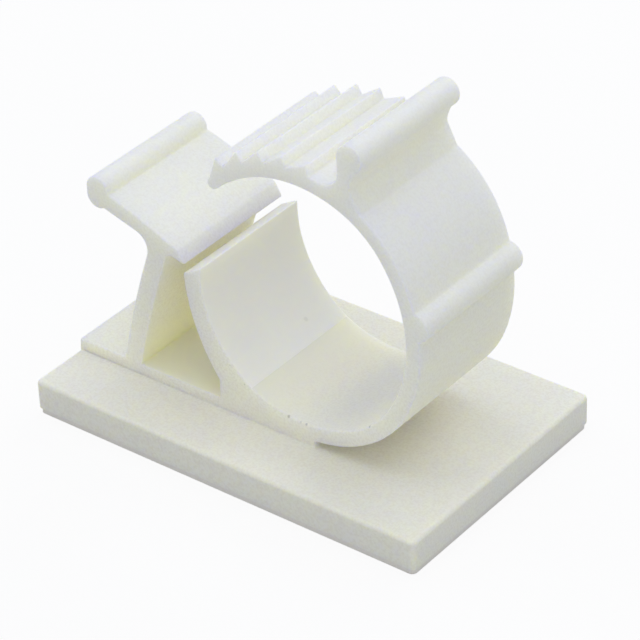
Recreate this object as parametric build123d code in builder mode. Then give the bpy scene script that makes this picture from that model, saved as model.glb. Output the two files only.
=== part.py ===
from build123d import *
import math
import os

# Adhesive cable clip: a releasable ratchet ring for a cable bundle, moulded in one piece
# with its base plate, on a thin adhesive pad. +X runs along the plate towards the ring,
# Y across it, +Z up. The origin is the middle of the pad's underside.
# Every part of the clip's profile is drawn in the XZ plane and pulled to one width.

# Base plate. It ends a little past the ring's bore, so a larger ring gets a longer plate.
base_past_bore = 2.97
base_width = 18.0
base_thickness = 1.95
base_corner_radius = 0.35
base_edge_radius = 0.25

# Adhesive pad, cut just inside the edge of the plate that it is stuck to
pad_thickness = 0.4
pad_inset = 0.1

# Clip as a whole, and the raised strip that carries it from the plate's left end
clip_width = 9.5
strip_height = 0.75
strip_length = 18.3

# Ring's bore: one circle for the floor and the arm, with its right side flattened between
# two tighter corners
bore_radius = 8.2
ring_from_left_end = 17.43
bore_floor_height = 1.45
floor_start_angle = -117.5
arm_end_angle = 133.3
flat_start_angle = 65.0
corner_tighter_by = 1.67
side_wider_by = 1.0

# Ring's outside, drawn from the bore: thick over the plate, thin at the shoulder so that
# the arm can flex
keel_past_bore_centre = 0.17
keel_height = 0.37
keel_wider_by = 0.23
keel_sweep_angle = 73.0
outer_side_wider_by = 2.6
outer_side_sweep_angle = 38.5
shoulder_wider_by = 0.22
shoulder_sweep_angle = 35.5
arm_thickness = 0.96
tip_radius = 0.4

# Ratchet teeth on the outside of the arm, counted from its tip
tooth_count = 5
tooth_pitch_angle = 10.15
tooth_height = 0.7
tooth_step_angle = 1.2
first_tooth_back_angle = 8.6

# Finger tab that closes the arm, and the grip bead lower down on the ring's side
tab_angle = 69.7
tab_thickness = 0.8
tab_height = 3.45
tab_bead_radius = 0.88
tab_neck_height = 0.65
tab_foot_fillet = 1.1
tab_neck_fillet = 0.7
grip_bead_radius = 0.95
grip_bead_angle = 11.0
grip_bead_past_bore = 0.3

# Fixed wall that closes the ring's left side, with a sloping lead-in on top
wall_height = 9.53
wall_lean = 3.5
wall_top_thickness = 1.3
wall_inner_radius = 8.05
wall_outer_radius = 12.7
wall_foot_height = 2.05
wall_foot_thickness = 2.5
wall_lead_in_drop = 0.72
wall_top_fillet = 0.25

# Latch: a springy post that leans and bows towards the ring and carries a cross head,
# with a pawl at one end that holds the teeth and a finger bead at the other
post_from_left_end = 4.33
post_lean_angle = 16.7
post_thickness = 1.3
post_bow = 0.18
post_root = 0.4
head_height = 9.57
head_thickness = 1.12
head_reach = 4.9
head_crown = 0.14
pawl_thickness = 0.72
pawl_reach = 1.98
pawl_end_slope = 0.74
post_outer_fillet = 1.1
post_inner_fillet = 0.6
finger_bead_past_head = 0.18
finger_bead_rise = 0.78
finger_bead_width = 1.66
finger_bead_height = 2.15

# Heights and places that follow from the sizes above
base_length = ring_from_left_end + bore_radius + base_past_bore
left_end = -base_length / 2
base_top = pad_thickness + base_thickness
strip_top = base_top + strip_height
bore_centre = Vector(left_end + ring_from_left_end, base_top + bore_floor_height + bore_radius)
keel = Vector(bore_centre.X + keel_past_bore_centre, base_top + keel_height)
post_x = left_end + post_from_left_end


def polar(centre, radius, degrees):
    """Point at a radius and an angle, counted from +X towards +Z, about a centre."""
    angle = math.radians(degrees)
    return Vector(centre) + Vector(radius * math.cos(angle), radius * math.sin(angle))


def tangent_arcs(start, heading_angle, radii_and_angles):
    """Arcs that each carry on from the one before, all bending the same way."""
    heading = polar((0, 0), 1, heading_angle)
    arcs = []
    for radius, arc_angle in radii_and_angles:
        arc = JernArc(start=start, tangent=heading, radius=radius, arc_size=arc_angle)
        arcs.append(arc)
        start = arc @ 1
        heading = arc % 1
    return arcs


# The corners turn just far enough to bring the arm back onto the floor's circle
corner_radius = bore_radius - corner_tighter_by
side_radius = bore_radius + side_wider_by
flat_share = (bore_radius - corner_radius) / (side_radius - corner_radius)
side_half_angle = math.degrees(math.asin(flat_share * math.sin(math.radians(flat_start_angle))))
corner_angle = flat_start_angle - side_half_angle
bore_start = polar(bore_centre, bore_radius, floor_start_angle)
with BuildLine() as bore_line:
    bore_arcs = tangent_arcs(
        bore_start,
        floor_start_angle + 90,
        (
            (bore_radius, -flat_start_angle - floor_start_angle),
            (corner_radius, corner_angle),
            (side_radius, 2 * side_half_angle),
            (corner_radius, corner_angle),
            (bore_radius, arm_end_angle - flat_start_angle),
        ),
    )
arm_outer_radius = bore_radius + arm_thickness
first_peak_angle = arm_end_angle - first_tooth_back_angle

# Ring and arm, with the teeth, the finger tab and the grip bead, open on the left
with BuildSketch() as ring_profile:
    # Thick floor, flatter side and thin shoulder, as a solid slice until the bore is cut
    with BuildLine():
        outside_arcs = tangent_arcs(
            keel,
            0,
            (
                (bore_radius + keel_wider_by, keel_sweep_angle),
                (bore_radius + outer_side_wider_by, outer_side_sweep_angle),
                (bore_radius + shoulder_wider_by, shoulder_sweep_angle),
            ),
        )
        shoulder_end = outside_arcs[-1] @ 1
        Polyline(shoulder_end, bore_centre, bore_start, Vector(bore_start.X, keel.Y), keel)
    make_face()

    # Arm from the finger tab to the first tooth
    with BuildLine():
        arm_line = CenterArc(bore_centre, arm_outer_radius, tab_angle, first_peak_angle - tab_angle)
        Polyline(arm_line @ 1, bore_centre, arm_line @ 0)
    make_face()

    # Each tooth ramps up away from the tip and drops almost straight on its tab side.
    # The first one's ramp is the arm's tapered end.
    for tooth in range(tooth_count):
        peak_angle = first_peak_angle - tooth * tooth_pitch_angle
        drop_angle = peak_angle - tooth_step_angle
        ramp_angle = drop_angle + tooth_pitch_angle
        ramp_radius = arm_outer_radius
        if tooth == 0:
            ramp_angle = arm_end_angle
            ramp_radius = bore_radius + 2 * tip_radius
        with BuildLine():
            Polyline(
                polar(bore_centre, bore_radius, ramp_angle),
                polar(bore_centre, ramp_radius, ramp_angle),
                polar(bore_centre, arm_outer_radius + tooth_height, peak_angle),
                polar(bore_centre, arm_outer_radius, drop_angle),
                polar(bore_centre, bore_radius, drop_angle),
                close=True,
            )
        make_face()

    # Finger tab, upright, with a flank that runs down to the shoulder
    tab_foot = polar(bore_centre, arm_outer_radius, tab_angle)
    tab_bead = tab_foot + Vector(tab_bead_radius, tab_height - tab_bead_radius)
    tab_neck = tab_foot + Vector(tab_thickness, tab_neck_height)
    with BuildLine():
        Polyline(
            bore_centre,
            tab_foot,
            tab_bead - Vector(tab_bead_radius, 0),
            tab_bead,
            tab_bead + Vector(tab_bead_radius, -tab_bead_radius) / 2,
            tab_neck,
            shoulder_end,
            close=True,
        )
    make_face()
    with Locations(tab_bead):
        Circle(tab_bead_radius)
    fillet(ring_profile.vertices().sort_by_distance(tab_foot)[0], tab_foot_fillet)
    fillet(ring_profile.vertices().sort_by_distance(tab_neck)[0], tab_neck_fillet)

    # Grip bead, a half-round bar that stands out of the ring's right side
    with Locations(polar(bore_centre, bore_radius + grip_bead_past_bore, grip_bead_angle)):
        Circle(grip_bead_radius)

    # Bore and mouth, cut last so that nothing stands into them
    with BuildLine():
        add(bore_line.line)
        Polyline(
            bore_arcs[-1] @ 1,
            polar(bore_centre, 2 * bore_radius, arm_end_angle),
            polar(bore_centre, 2 * bore_radius, floor_start_angle),
            bore_start,
        )
    make_face(mode=Mode.SUBTRACT)

    # Rounded tip that slips past the pawl
    with Locations(polar(bore_centre, bore_radius + tip_radius, arm_end_angle)):
        Circle(tip_radius)

# Fixed wall from the crease in the bore up to its sloping top
wall_top = Vector(bore_start.X - wall_lean, base_top + wall_height)
wall_lip = wall_top - Vector(wall_top_thickness, wall_lead_in_drop)
wall_foot = Vector(bore_start.X - wall_foot_thickness, base_top + wall_foot_height)
with BuildSketch() as wall_profile:
    with BuildLine():
        RadiusArc(wall_top, bore_start, -wall_inner_radius)
        Polyline(
            bore_start,
            Vector(bore_start.X, base_top),
            Vector(wall_foot.X, base_top),
            wall_foot,
        )
        RadiusArc(wall_foot, wall_lip, wall_outer_radius)
        Line(wall_lip, wall_top)
    make_face()
    fillet(wall_profile.vertices().sort_by_distance(wall_lip)[0], wall_top_fillet)

# Raised strip. It reaches down past the plate's rounded edge, so that its end is flush
# with the plate's.
strip_end = left_end + strip_length
with BuildSketch() as strip_profile:
    with Locations(((left_end + strip_end) / 2, strip_top)):
        Rectangle(
            strip_length,
            strip_height + base_edge_radius,
            align=(Align.CENTER, Align.MAX),
        )

# Latch, drawn upright about its foot and then leant towards the ring
post_top = head_height + head_thickness / 2
half_post = post_thickness / 2
pawl_shoulder = Vector(pawl_reach - pawl_end_slope, head_height + pawl_thickness)
with BuildSketch() as latch_profile:
    with BuildLine():
        Line((-half_post, -post_root), (half_post, -post_root))
        SagittaArc((half_post, -post_root), (half_post, post_top), post_bow)
        Line((half_post, post_top), (-half_post, post_top))
        SagittaArc((-half_post, post_top), (-half_post, -post_root), -post_bow)
    make_face()
    with BuildLine():
        Polyline(
            (-head_reach, head_height + head_thickness),
            (-head_reach, head_height),
            (pawl_reach, head_height),
            pawl_shoulder,
        )
        SagittaArc(pawl_shoulder, (-head_reach, head_height + head_thickness), -head_crown)
    make_face()
    fillet(
        latch_profile.vertices().sort_by_distance((-half_post, head_height))[0],
        post_outer_fillet,
    )
    fillet(
        latch_profile.vertices().sort_by_distance((half_post, head_height))[0],
        post_inner_fillet,
    )
    with Locations((-head_reach - finger_bead_past_head, head_height + finger_bead_rise)):
        SlotOverall(finger_bead_height, finger_bead_width, rotation=90 + post_lean_angle)

# One moulded piece: the plate with its rounded upper edge, and the clip's profile on it
with BuildPart() as clip_body:
    with BuildSketch(Plane.XY.offset(pad_thickness)):
        RectangleRounded(base_length, base_width, base_corner_radius)
    extrude(amount=base_thickness)
    fillet(clip_body.faces().sort_by(Axis.Z)[-1].edges(), base_edge_radius)
    with BuildSketch(Plane.XZ):
        add(ring_profile.sketch)
        add(wall_profile.sketch)
        add(strip_profile.sketch)
        with Locations(Location((post_x, strip_top), -post_lean_angle)):
            add(latch_profile.sketch)
    extrude(amount=clip_width / 2, both=True)

# Adhesive pad under the plate
with BuildPart() as adhesive_pad:
    with BuildSketch():
        RectangleRounded(
            base_length - 2 * pad_inset,
            base_width - 2 * pad_inset,
            base_corner_radius,
        )
    extrude(amount=pad_thickness)

os.makedirs("parts", exist_ok=True)
clip_body.part.label = "clip_body"
adhesive_pad.part.label = "adhesive_pad"
export_step(clip_body.part, "parts/clip_body.step")
export_step(adhesive_pad.part, "parts/adhesive_pad.step")
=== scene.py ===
import math

import bmesh
import bpy
from mathutils import Euler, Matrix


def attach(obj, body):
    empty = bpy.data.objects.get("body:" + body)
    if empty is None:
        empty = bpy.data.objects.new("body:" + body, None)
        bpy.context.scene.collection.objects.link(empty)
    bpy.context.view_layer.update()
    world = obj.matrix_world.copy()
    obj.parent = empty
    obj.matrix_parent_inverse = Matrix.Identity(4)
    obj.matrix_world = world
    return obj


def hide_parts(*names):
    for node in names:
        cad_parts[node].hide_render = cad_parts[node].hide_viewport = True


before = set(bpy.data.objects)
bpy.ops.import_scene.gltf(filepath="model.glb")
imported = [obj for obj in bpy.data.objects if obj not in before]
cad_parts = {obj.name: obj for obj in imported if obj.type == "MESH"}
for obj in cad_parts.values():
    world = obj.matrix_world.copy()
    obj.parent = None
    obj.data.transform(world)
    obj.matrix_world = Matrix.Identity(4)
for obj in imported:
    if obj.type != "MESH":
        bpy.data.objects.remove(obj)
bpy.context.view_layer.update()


# Clip: one moulding of natural (undyed) nylon that holds the base plate, the raised strip,
# the latch post, the fixed wall and the ratchet ring. The mould leaves a small radius on
# each edge, and a crisp fold in the bore, where the fixed wall stands on the ring's floor.
def srgb(code):
    """Linear RGBA of a colour written as an sRGB hex code."""
    channels = [int(code[i:i + 2], 16) / 255 for i in (0, 2, 4)]
    linear = [c / 12.92 if c <= 0.04045 else ((c + 0.055) / 1.055) ** 2.4 for c in channels]
    return (*linear, 1.0)


def add_node(tree, kind, *values, **named):
    """New shader node. Values fill its inputs in order. Named ones are its settings, in
    lower case, or its inputs. A node as a value is linked by its first output."""
    node = tree.nodes.new("ShaderNode" + kind)
    for name, value in named.items():
        if name.islower():
            setattr(node, name, value)
    sockets = list(zip([socket for socket in node.inputs if socket.enabled], values))
    for name, value in named.items():
        if not name.islower():
            sockets.append((node.inputs[name.replace("_", " ")], value))
    for socket, value in sockets:
        if isinstance(value, bpy.types.Node):
            value = next(output for output in value.outputs if output.enabled)
        if isinstance(value, bpy.types.NodeSocket):
            tree.links.new(value, socket)
        else:
            socket.default_value = value
    return node


def new_material(name):
    """Empty node material and its tree."""
    material = bpy.data.materials.new(name)
    material.use_nodes = True
    material.node_tree.nodes.clear()
    return material, material.node_tree


def softened_copy(node, name, edge_width, material, crease=None):
    """Copy of a CAD node with its flat faces joined and its sharp edges worn round.
    A crease is the X and Z of a shallow fold that runs along Y and stays crisp."""
    same_place = 0.000001
    crease_reach = 0.00002
    flat_angle = math.radians(0.5)
    sharp_angle = math.radians(24)
    work = bmesh.new()
    work.from_mesh(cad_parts[node].data)
    bmesh.ops.remove_doubles(work, verts=work.verts, dist=same_place)
    bmesh.ops.dissolve_limit(
        work,
        angle_limit=flat_angle,
        verts=work.verts,
        edges=work.edges,
    )
    # Edges to soften: the sharp ones, but none in a hollow that is too short for the radius,
    # and not the underside's, which lies square on what is below. These stay crisp.
    share = work.edges.layers.float.new("bevel_weight_edge")
    lowest = min(corner.co.z for corner in work.verts)
    for edge in work.edges:
        turn = edge.calc_face_angle_signed(0.0)
        is_sharp = abs(turn) > sharp_angle
        has_room = turn > 0 or edge.calc_length() > edge_width
        is_under = all(corner.co.z < lowest + edge_width / 2 for corner in edge.verts)
        is_soft = is_sharp and has_room and not is_under
        is_crease = crease and all(
            math.dist((corner.co.x, corner.co.z), crease) < crease_reach
            for corner in edge.verts
        )
        edge[share] = float(is_soft)
        edge.smooth = is_soft or not (is_sharp or is_crease)
    for face in work.faces:
        face.smooth = True
    mesh = bpy.data.meshes.new(name)
    work.to_mesh(mesh)
    work.free()
    mesh.materials.clear()
    mesh.materials.append(material)
    piece = bpy.data.objects.new(name, mesh)
    bpy.context.scene.collection.objects.link(piece)
    bevel = piece.modifiers.new("soft edges", "BEVEL")
    bevel.width = edge_width
    bevel.segments = 2
    bevel.limit_method = "WEIGHT"
    bevel.use_clamp_overlap = False
    normals = piece.modifiers.new("flat faces stay flat", "WEIGHTED_NORMAL")
    normals.weight = 100
    normals.keep_sharp = True
    solved = piece.evaluated_get(bpy.context.evaluated_depsgraph_get())
    piece.data = bpy.data.meshes.new_from_object(solved)
    piece.modifiers.clear()
    piece.data.name = name
    return piece


# Sizes in metres, most from the CAD: the radius of the worn edges, half the width of the
# profile, the tops of plate and strip, the bore's axis and its fold, and the two ends of the
# hollow between post and fixed wall. The reach goes just past the bore's faces.
clip_edge_width = 0.00012
clip_half_width = 0.00475
plate_top = 0.00235
strip_top = 0.0031
bore_axis = (0.00313, 0.0, 0.012)
bore_reach = 0.00834
fold_x, fold_z = -0.000656, 0.004727
hollow_left, hollow_right = -0.00945, -0.0031

# Natural nylon, moulded: warm white with a fine matte skin. Light bleeds through its thin
# walls, and deep corners turn yellow because each bounce inside the clip loses some blue.
nylon, tree = new_material("natural_nylon_matte_moulded")
place = add_node(tree, "TexCoord").outputs["Object"]
along, across, height = add_node(tree, "SeparateXYZ", place).outputs

# Cloudy patches of about 5 mm, where the plastic is denser, and a mottle of the grain of
# the skin, about 0.15 mm: scales are counts per metre. Higher up, the colour is painted
# cooler and whiter, a painted stand-in for the light that passes through the thin upper parts.
cloud_scale = 180.0
grain_scale = 6500.0
thick_below, thin_above = 0.008, 0.017
clouds = add_node(tree, "TexNoise", Vector=place, Scale=cloud_scale, Detail=3.0)
grain = add_node(tree, "TexNoise", Vector=place, Scale=grain_scale, Detail=2.0)
colour = add_node(tree, "Mix", clouds, srgb("FEFAEB"), srgb("FBF7E6"), data_type="RGBA")
mottle = add_node(tree, "MapRange", grain, 0.4, 0.65, 0.0, 1.0)
colour = add_node(tree, "Mix", mottle, colour, srgb("F5F0DF"), data_type="RGBA")
# Painted light: the colour turns cooler and whiter with height.
painted_cool_top = add_node(tree, "MapRange", height, thick_below, thin_above, 0.0, 0.45)
colour = add_node(tree, "Mix", painted_cool_top, colour, srgb("FAF9F3"), data_type="RGBA")

# Painted light and shade in the bore: the fixed wall's face is painted paler, as if lit, and
# the floor is painted a little darker low down, most of all beside the fold, as painted shade
fold_fade = 0.0037
fold_rise = 0.0018
from_axis = add_node(tree, "VectorMath", place, bore_axis, operation="SUBTRACT")
from_axis = add_node(tree, "VectorMath", from_axis, (1.0, 0.0, 1.0), operation="MULTIPLY")
from_axis = add_node(tree, "VectorMath", from_axis, operation="LENGTH")
in_bore = add_node(tree, "Math", from_axis, bore_reach, operation="LESS_THAN")
off_middle = add_node(tree, "Math", across, operation="ABSOLUTE")
on_face = add_node(
    tree,
    "Math",
    off_middle,
    clip_half_width - clip_edge_width / 2,
    operation="LESS_THAN",
)
in_bore = add_node(tree, "Math", in_bore, on_face, operation="MULTIPLY")
below_axis = add_node(tree, "Math", height, bore_axis[2], operation="LESS_THAN")
in_bore = add_node(tree, "Math", in_bore, below_axis, operation="MULTIPLY")
on_floor = add_node(tree, "Math", along, fold_x, operation="GREATER_THAN")
on_wall = add_node(tree, "Math", 1.0, on_floor, operation="SUBTRACT")
# Painted light: the fixed wall's face in the bore is painted paler.
wall_painted_light = add_node(tree, "Math", in_bore, on_wall, operation="MULTIPLY")
colour = add_node(tree, "Mix", wall_painted_light, colour, srgb("FFFDEC"), data_type="RGBA")
beside_fold = add_node(tree, "MapRange", along, fold_x, fold_x + fold_fade, 1.0, 0.2)
low_down = add_node(tree, "Math", height, fold_z + fold_rise, operation="LESS_THAN")
# Painted shade: the floor beside the fold is painted darker, fading away from it.
floor_painted_shade = add_node(tree, "Math", in_bore, on_floor, operation="MULTIPLY")
floor_painted_shade = add_node(tree, "Math", floor_painted_shade, beside_fold, operation="MULTIPLY")
floor_painted_shade = add_node(tree, "Math", floor_painted_shade, low_down, operation="MULTIPLY")
colour = add_node(tree, "Mix", floor_painted_shade, colour, srgb("EFEEDD"), data_type="RGBA")

# Low in the hollow between the post and the fixed wall the colour is painted a brighter
# yellow: painted bounce light, standing in for the light that yellows between the walls
hollow_fade = 0.0034
# Painted light: yellow bounce light painted low in the hollow.
hollow_painted_light = add_node(
    tree, "MapRange", height, strip_top, strip_top + hollow_fade, 1.0, 0.0
)
right_of_post = add_node(tree, "Math", along, hollow_left, operation="GREATER_THAN")
left_of_wall = add_node(tree, "Math", along, hollow_right, operation="LESS_THAN")
on_strip = add_node(
    tree, "Math", height, strip_top - clip_edge_width, operation="GREATER_THAN"
)
for limit in (right_of_post, left_of_wall, on_strip, on_face):
    hollow_painted_light = add_node(tree, "Math", hollow_painted_light, limit, operation="MULTIPLY")
colour = add_node(tree, "Mix", hollow_painted_light, colour, srgb("FFF8DA"), data_type="RGBA")

# Specks of dirt on the bore's front edge and a faint grey spot on the fixed wall: where
# each is, how large, and how much of the plastic it hides
dirt = 0.0
for spot, size, cover in (
    ((0.0021, -0.0047, 0.00379), 0.00012, 0.4),
    ((0.00342, -0.0047, 0.00375), 0.0001, 0.35),
    ((0.003, -0.0047, 0.00375), 0.00008, 0.2),
    ((0.0081, -0.0047, 0.00551), 0.00011, 0.35),
    ((-0.00116, -0.0047, 0.00482), 0.0001, 0.3),
    ((-0.00222, -0.0047, 0.0058), 0.00009, 0.25),
    ((-0.00171, 0.002, 0.00559), 0.0002, 0.12),
):
    away = add_node(tree, "VectorMath", place, spot, operation="DISTANCE")
    speck = add_node(tree, "MapRange", away, size, size / 2, 0.0, cover)
    dirt = add_node(tree, "Math", speck, dirt, operation="MAXIMUM")
colour = add_node(tree, "Mix", dirt, colour, srgb("6E6C66"), data_type="RGBA")

# Skin of the mould: the same fine grain over slow waves of about 2 mm
wave_scale = 500.0
waves = add_node(tree, "TexNoise", Vector=place, Scale=wave_scale, Detail=1.0)
bumps = add_node(tree, "Bump", Strength=0.25, Distance=0.00004, Height=waves)
bumps = add_node(tree, "Bump", Strength=0.5, Distance=0.000012, Height=grain, Normal=bumps)

# Light wanders far in the thin walls, less behind the wall's face in the bore where light is
# painted, and hardly at all in the plate on its pad. It grows over the first millimetre above
# the plate.
bleed_rise = 0.001
plate_bleed, wall_bleed = 0.0003, 0.003
bleed = add_node(
    tree, "MapRange", height, plate_top, plate_top + bleed_rise, plate_bleed, wall_bleed
)
held_back = add_node(tree, "MapRange", wall_painted_light, 0.0, 1.0, 1.0, 0.25)
nylon_shader = add_node(
    tree,
    "BsdfPrincipled",
    Base_Color=colour,
    Roughness=add_node(tree, "MapRange", grain, 0.0, 1.0, 0.45, 0.6),
    IOR=1.53,
    Specular_IOR_Level=0.35,
    Subsurface_Weight=add_node(tree, "Math", 1.0, dirt, operation="SUBTRACT"),
    Subsurface_Radius=(1.0, 0.92, 0.28),
    Subsurface_Scale=add_node(tree, "Math", bleed, held_back, operation="MULTIPLY"),
    Normal=bumps,
)
add_node(tree, "OutputMaterial", nylon_shader)

clip = softened_copy(
    "clip_body",
    "clip_moulding",
    clip_edge_width,
    nylon,
    crease=(fold_x, fold_z),
)
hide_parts("clip_body")
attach(clip, "root")


# Adhesive pad: double-sided white foam under the plate, cut a little smaller than it. It
# holds the clip to a panel, and only its thin edge shows.
pad_edge_width = 0.00004

# Closed-cell foam: soft and matte, its cut edge pitted by cells of about 0.1 mm
cell_scale = 9000.0
foam, tree = new_material("white_foam_adhesive")
place = add_node(tree, "TexCoord").outputs["Object"]
cells = add_node(tree, "TexVoronoi", Vector=place, Scale=cell_scale)
foam_shader = add_node(
    tree,
    "BsdfPrincipled",
    Base_Color=add_node(
        tree, "Mix", cells, srgb("F0EADC"), srgb("F8F3E6"), data_type="RGBA"
    ),
    Roughness=0.8,
    Subsurface_Weight=0.4,
    Subsurface_Radius=(1.0, 0.9, 0.8),
    Subsurface_Scale=0.0003,
    Normal=add_node(tree, "Bump", Strength=0.6, Distance=0.00003, Height=cells),
)
add_node(tree, "OutputMaterial", foam_shader)

pad = softened_copy("adhesive_pad", "foam_pad", pad_edge_width, foam)
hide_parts("adhesive_pad")
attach(pad, "root")


# Floor: a pale sheet. To the camera and to reflections most of it is plain white, so the
# background is white and the object's shadow stays light.
floor_size = 3.0
floor_white_share = 0.85
floor_white_strength = 1.05
bpy.ops.mesh.primitive_plane_add(size=floor_size, location=(0, 0, 0))
floor = bpy.context.object
floor.name = "floor"
paper, tree = new_material("white_paper_floor")
rays = add_node(tree, "LightPath").outputs
seen = add_node(tree, "Math", rays["Is Camera Ray"], rays["Is Glossy Ray"], operation="MAXIMUM")
white_share = add_node(tree, "Math", seen, floor_white_share, operation="MULTIPLY")
paper_sheet = add_node(tree, "BsdfDiffuse", Color=srgb("D6D6D4"))
paper_white = add_node(
    tree, "Emission", Color=srgb("FFFFFF"), Strength=floor_white_strength
)
add_node(
    tree, "OutputMaterial", add_node(tree, "MixShader", white_share, paper_sheet, paper_white)
)
floor.data.materials.append(paper)

# World: a white tent, dimmer as a light than it looks to the camera
tent_light = (0.885, 0.91, 1.0)
tent_strength = 0.41
world = bpy.data.worlds.new("studio")
bpy.context.scene.world = world
world.use_nodes = True
tree = world.node_tree
tree.nodes.clear()
rays = add_node(tree, "LightPath").outputs
seen = add_node(
    tree, "Math", rays["Is Camera Ray"], rays["Is Transmission Ray"], operation="MAXIMUM"
)
tent = add_node(tree, "Background", Color=(*tent_light, 1.0), Strength=tent_strength)
white = add_node(tree, "Background", Color=srgb("FFFFFF"), Strength=1.0)
add_node(tree, "OutputWorld", add_node(tree, "MixShader", seen, tent, white))

# Lamps: the panels of the tent, each a large soft square that faces the clip. The low one
# at the right front corner shines into the bore, and the one behind lights the plate under
# the ring.
for name, where, size, power in (
    ("tent_top", (0.0, 0.0, 0.35), 0.4, 0.51),
    ("tent_front", (0.0, -0.35, 0.16), 0.3, 0.06),
    ("tent_corner", (0.26, -0.235, 0.09), 0.3, 0.25),
    ("tent_left", (-0.35, 0.0, 0.16), 0.3, 0.27),
    ("tent_back", (0.0, 0.35, 0.16), 0.3, 0.52),
):
    panel = bpy.data.lights.new(name, "AREA")
    panel.shape = "SQUARE"
    panel.size = size
    panel.energy = power
    panel.color = tent_light
    lamp = bpy.data.objects.new(name, panel)
    lamp.location = where
    lamp.rotation_euler = (-lamp.location).to_track_quat("-Z", "Y").to_euler()
    bpy.context.scene.collection.objects.link(lamp)

# Camera: a long lens, fitted to the plate's corners and the ring in the photograph. Its turn
# is in degrees.
camera_place = (0.102928, -0.12748, 0.116366)
camera_turn = (56.313, 1.874, 37.402)
lens = bpy.data.cameras.new("camera")
lens.lens = 185.0
lens.sensor_width = 36.0
lens.clip_start = 0.01
camera = bpy.data.objects.new("camera", lens)
camera.location = camera_place
camera.rotation_euler = Euler([math.radians(angle) for angle in camera_turn], "XYZ")
bpy.context.scene.collection.objects.link(camera)
bpy.context.scene.camera = camera

bpy.context.scene.view_settings.view_transform = "Standard"
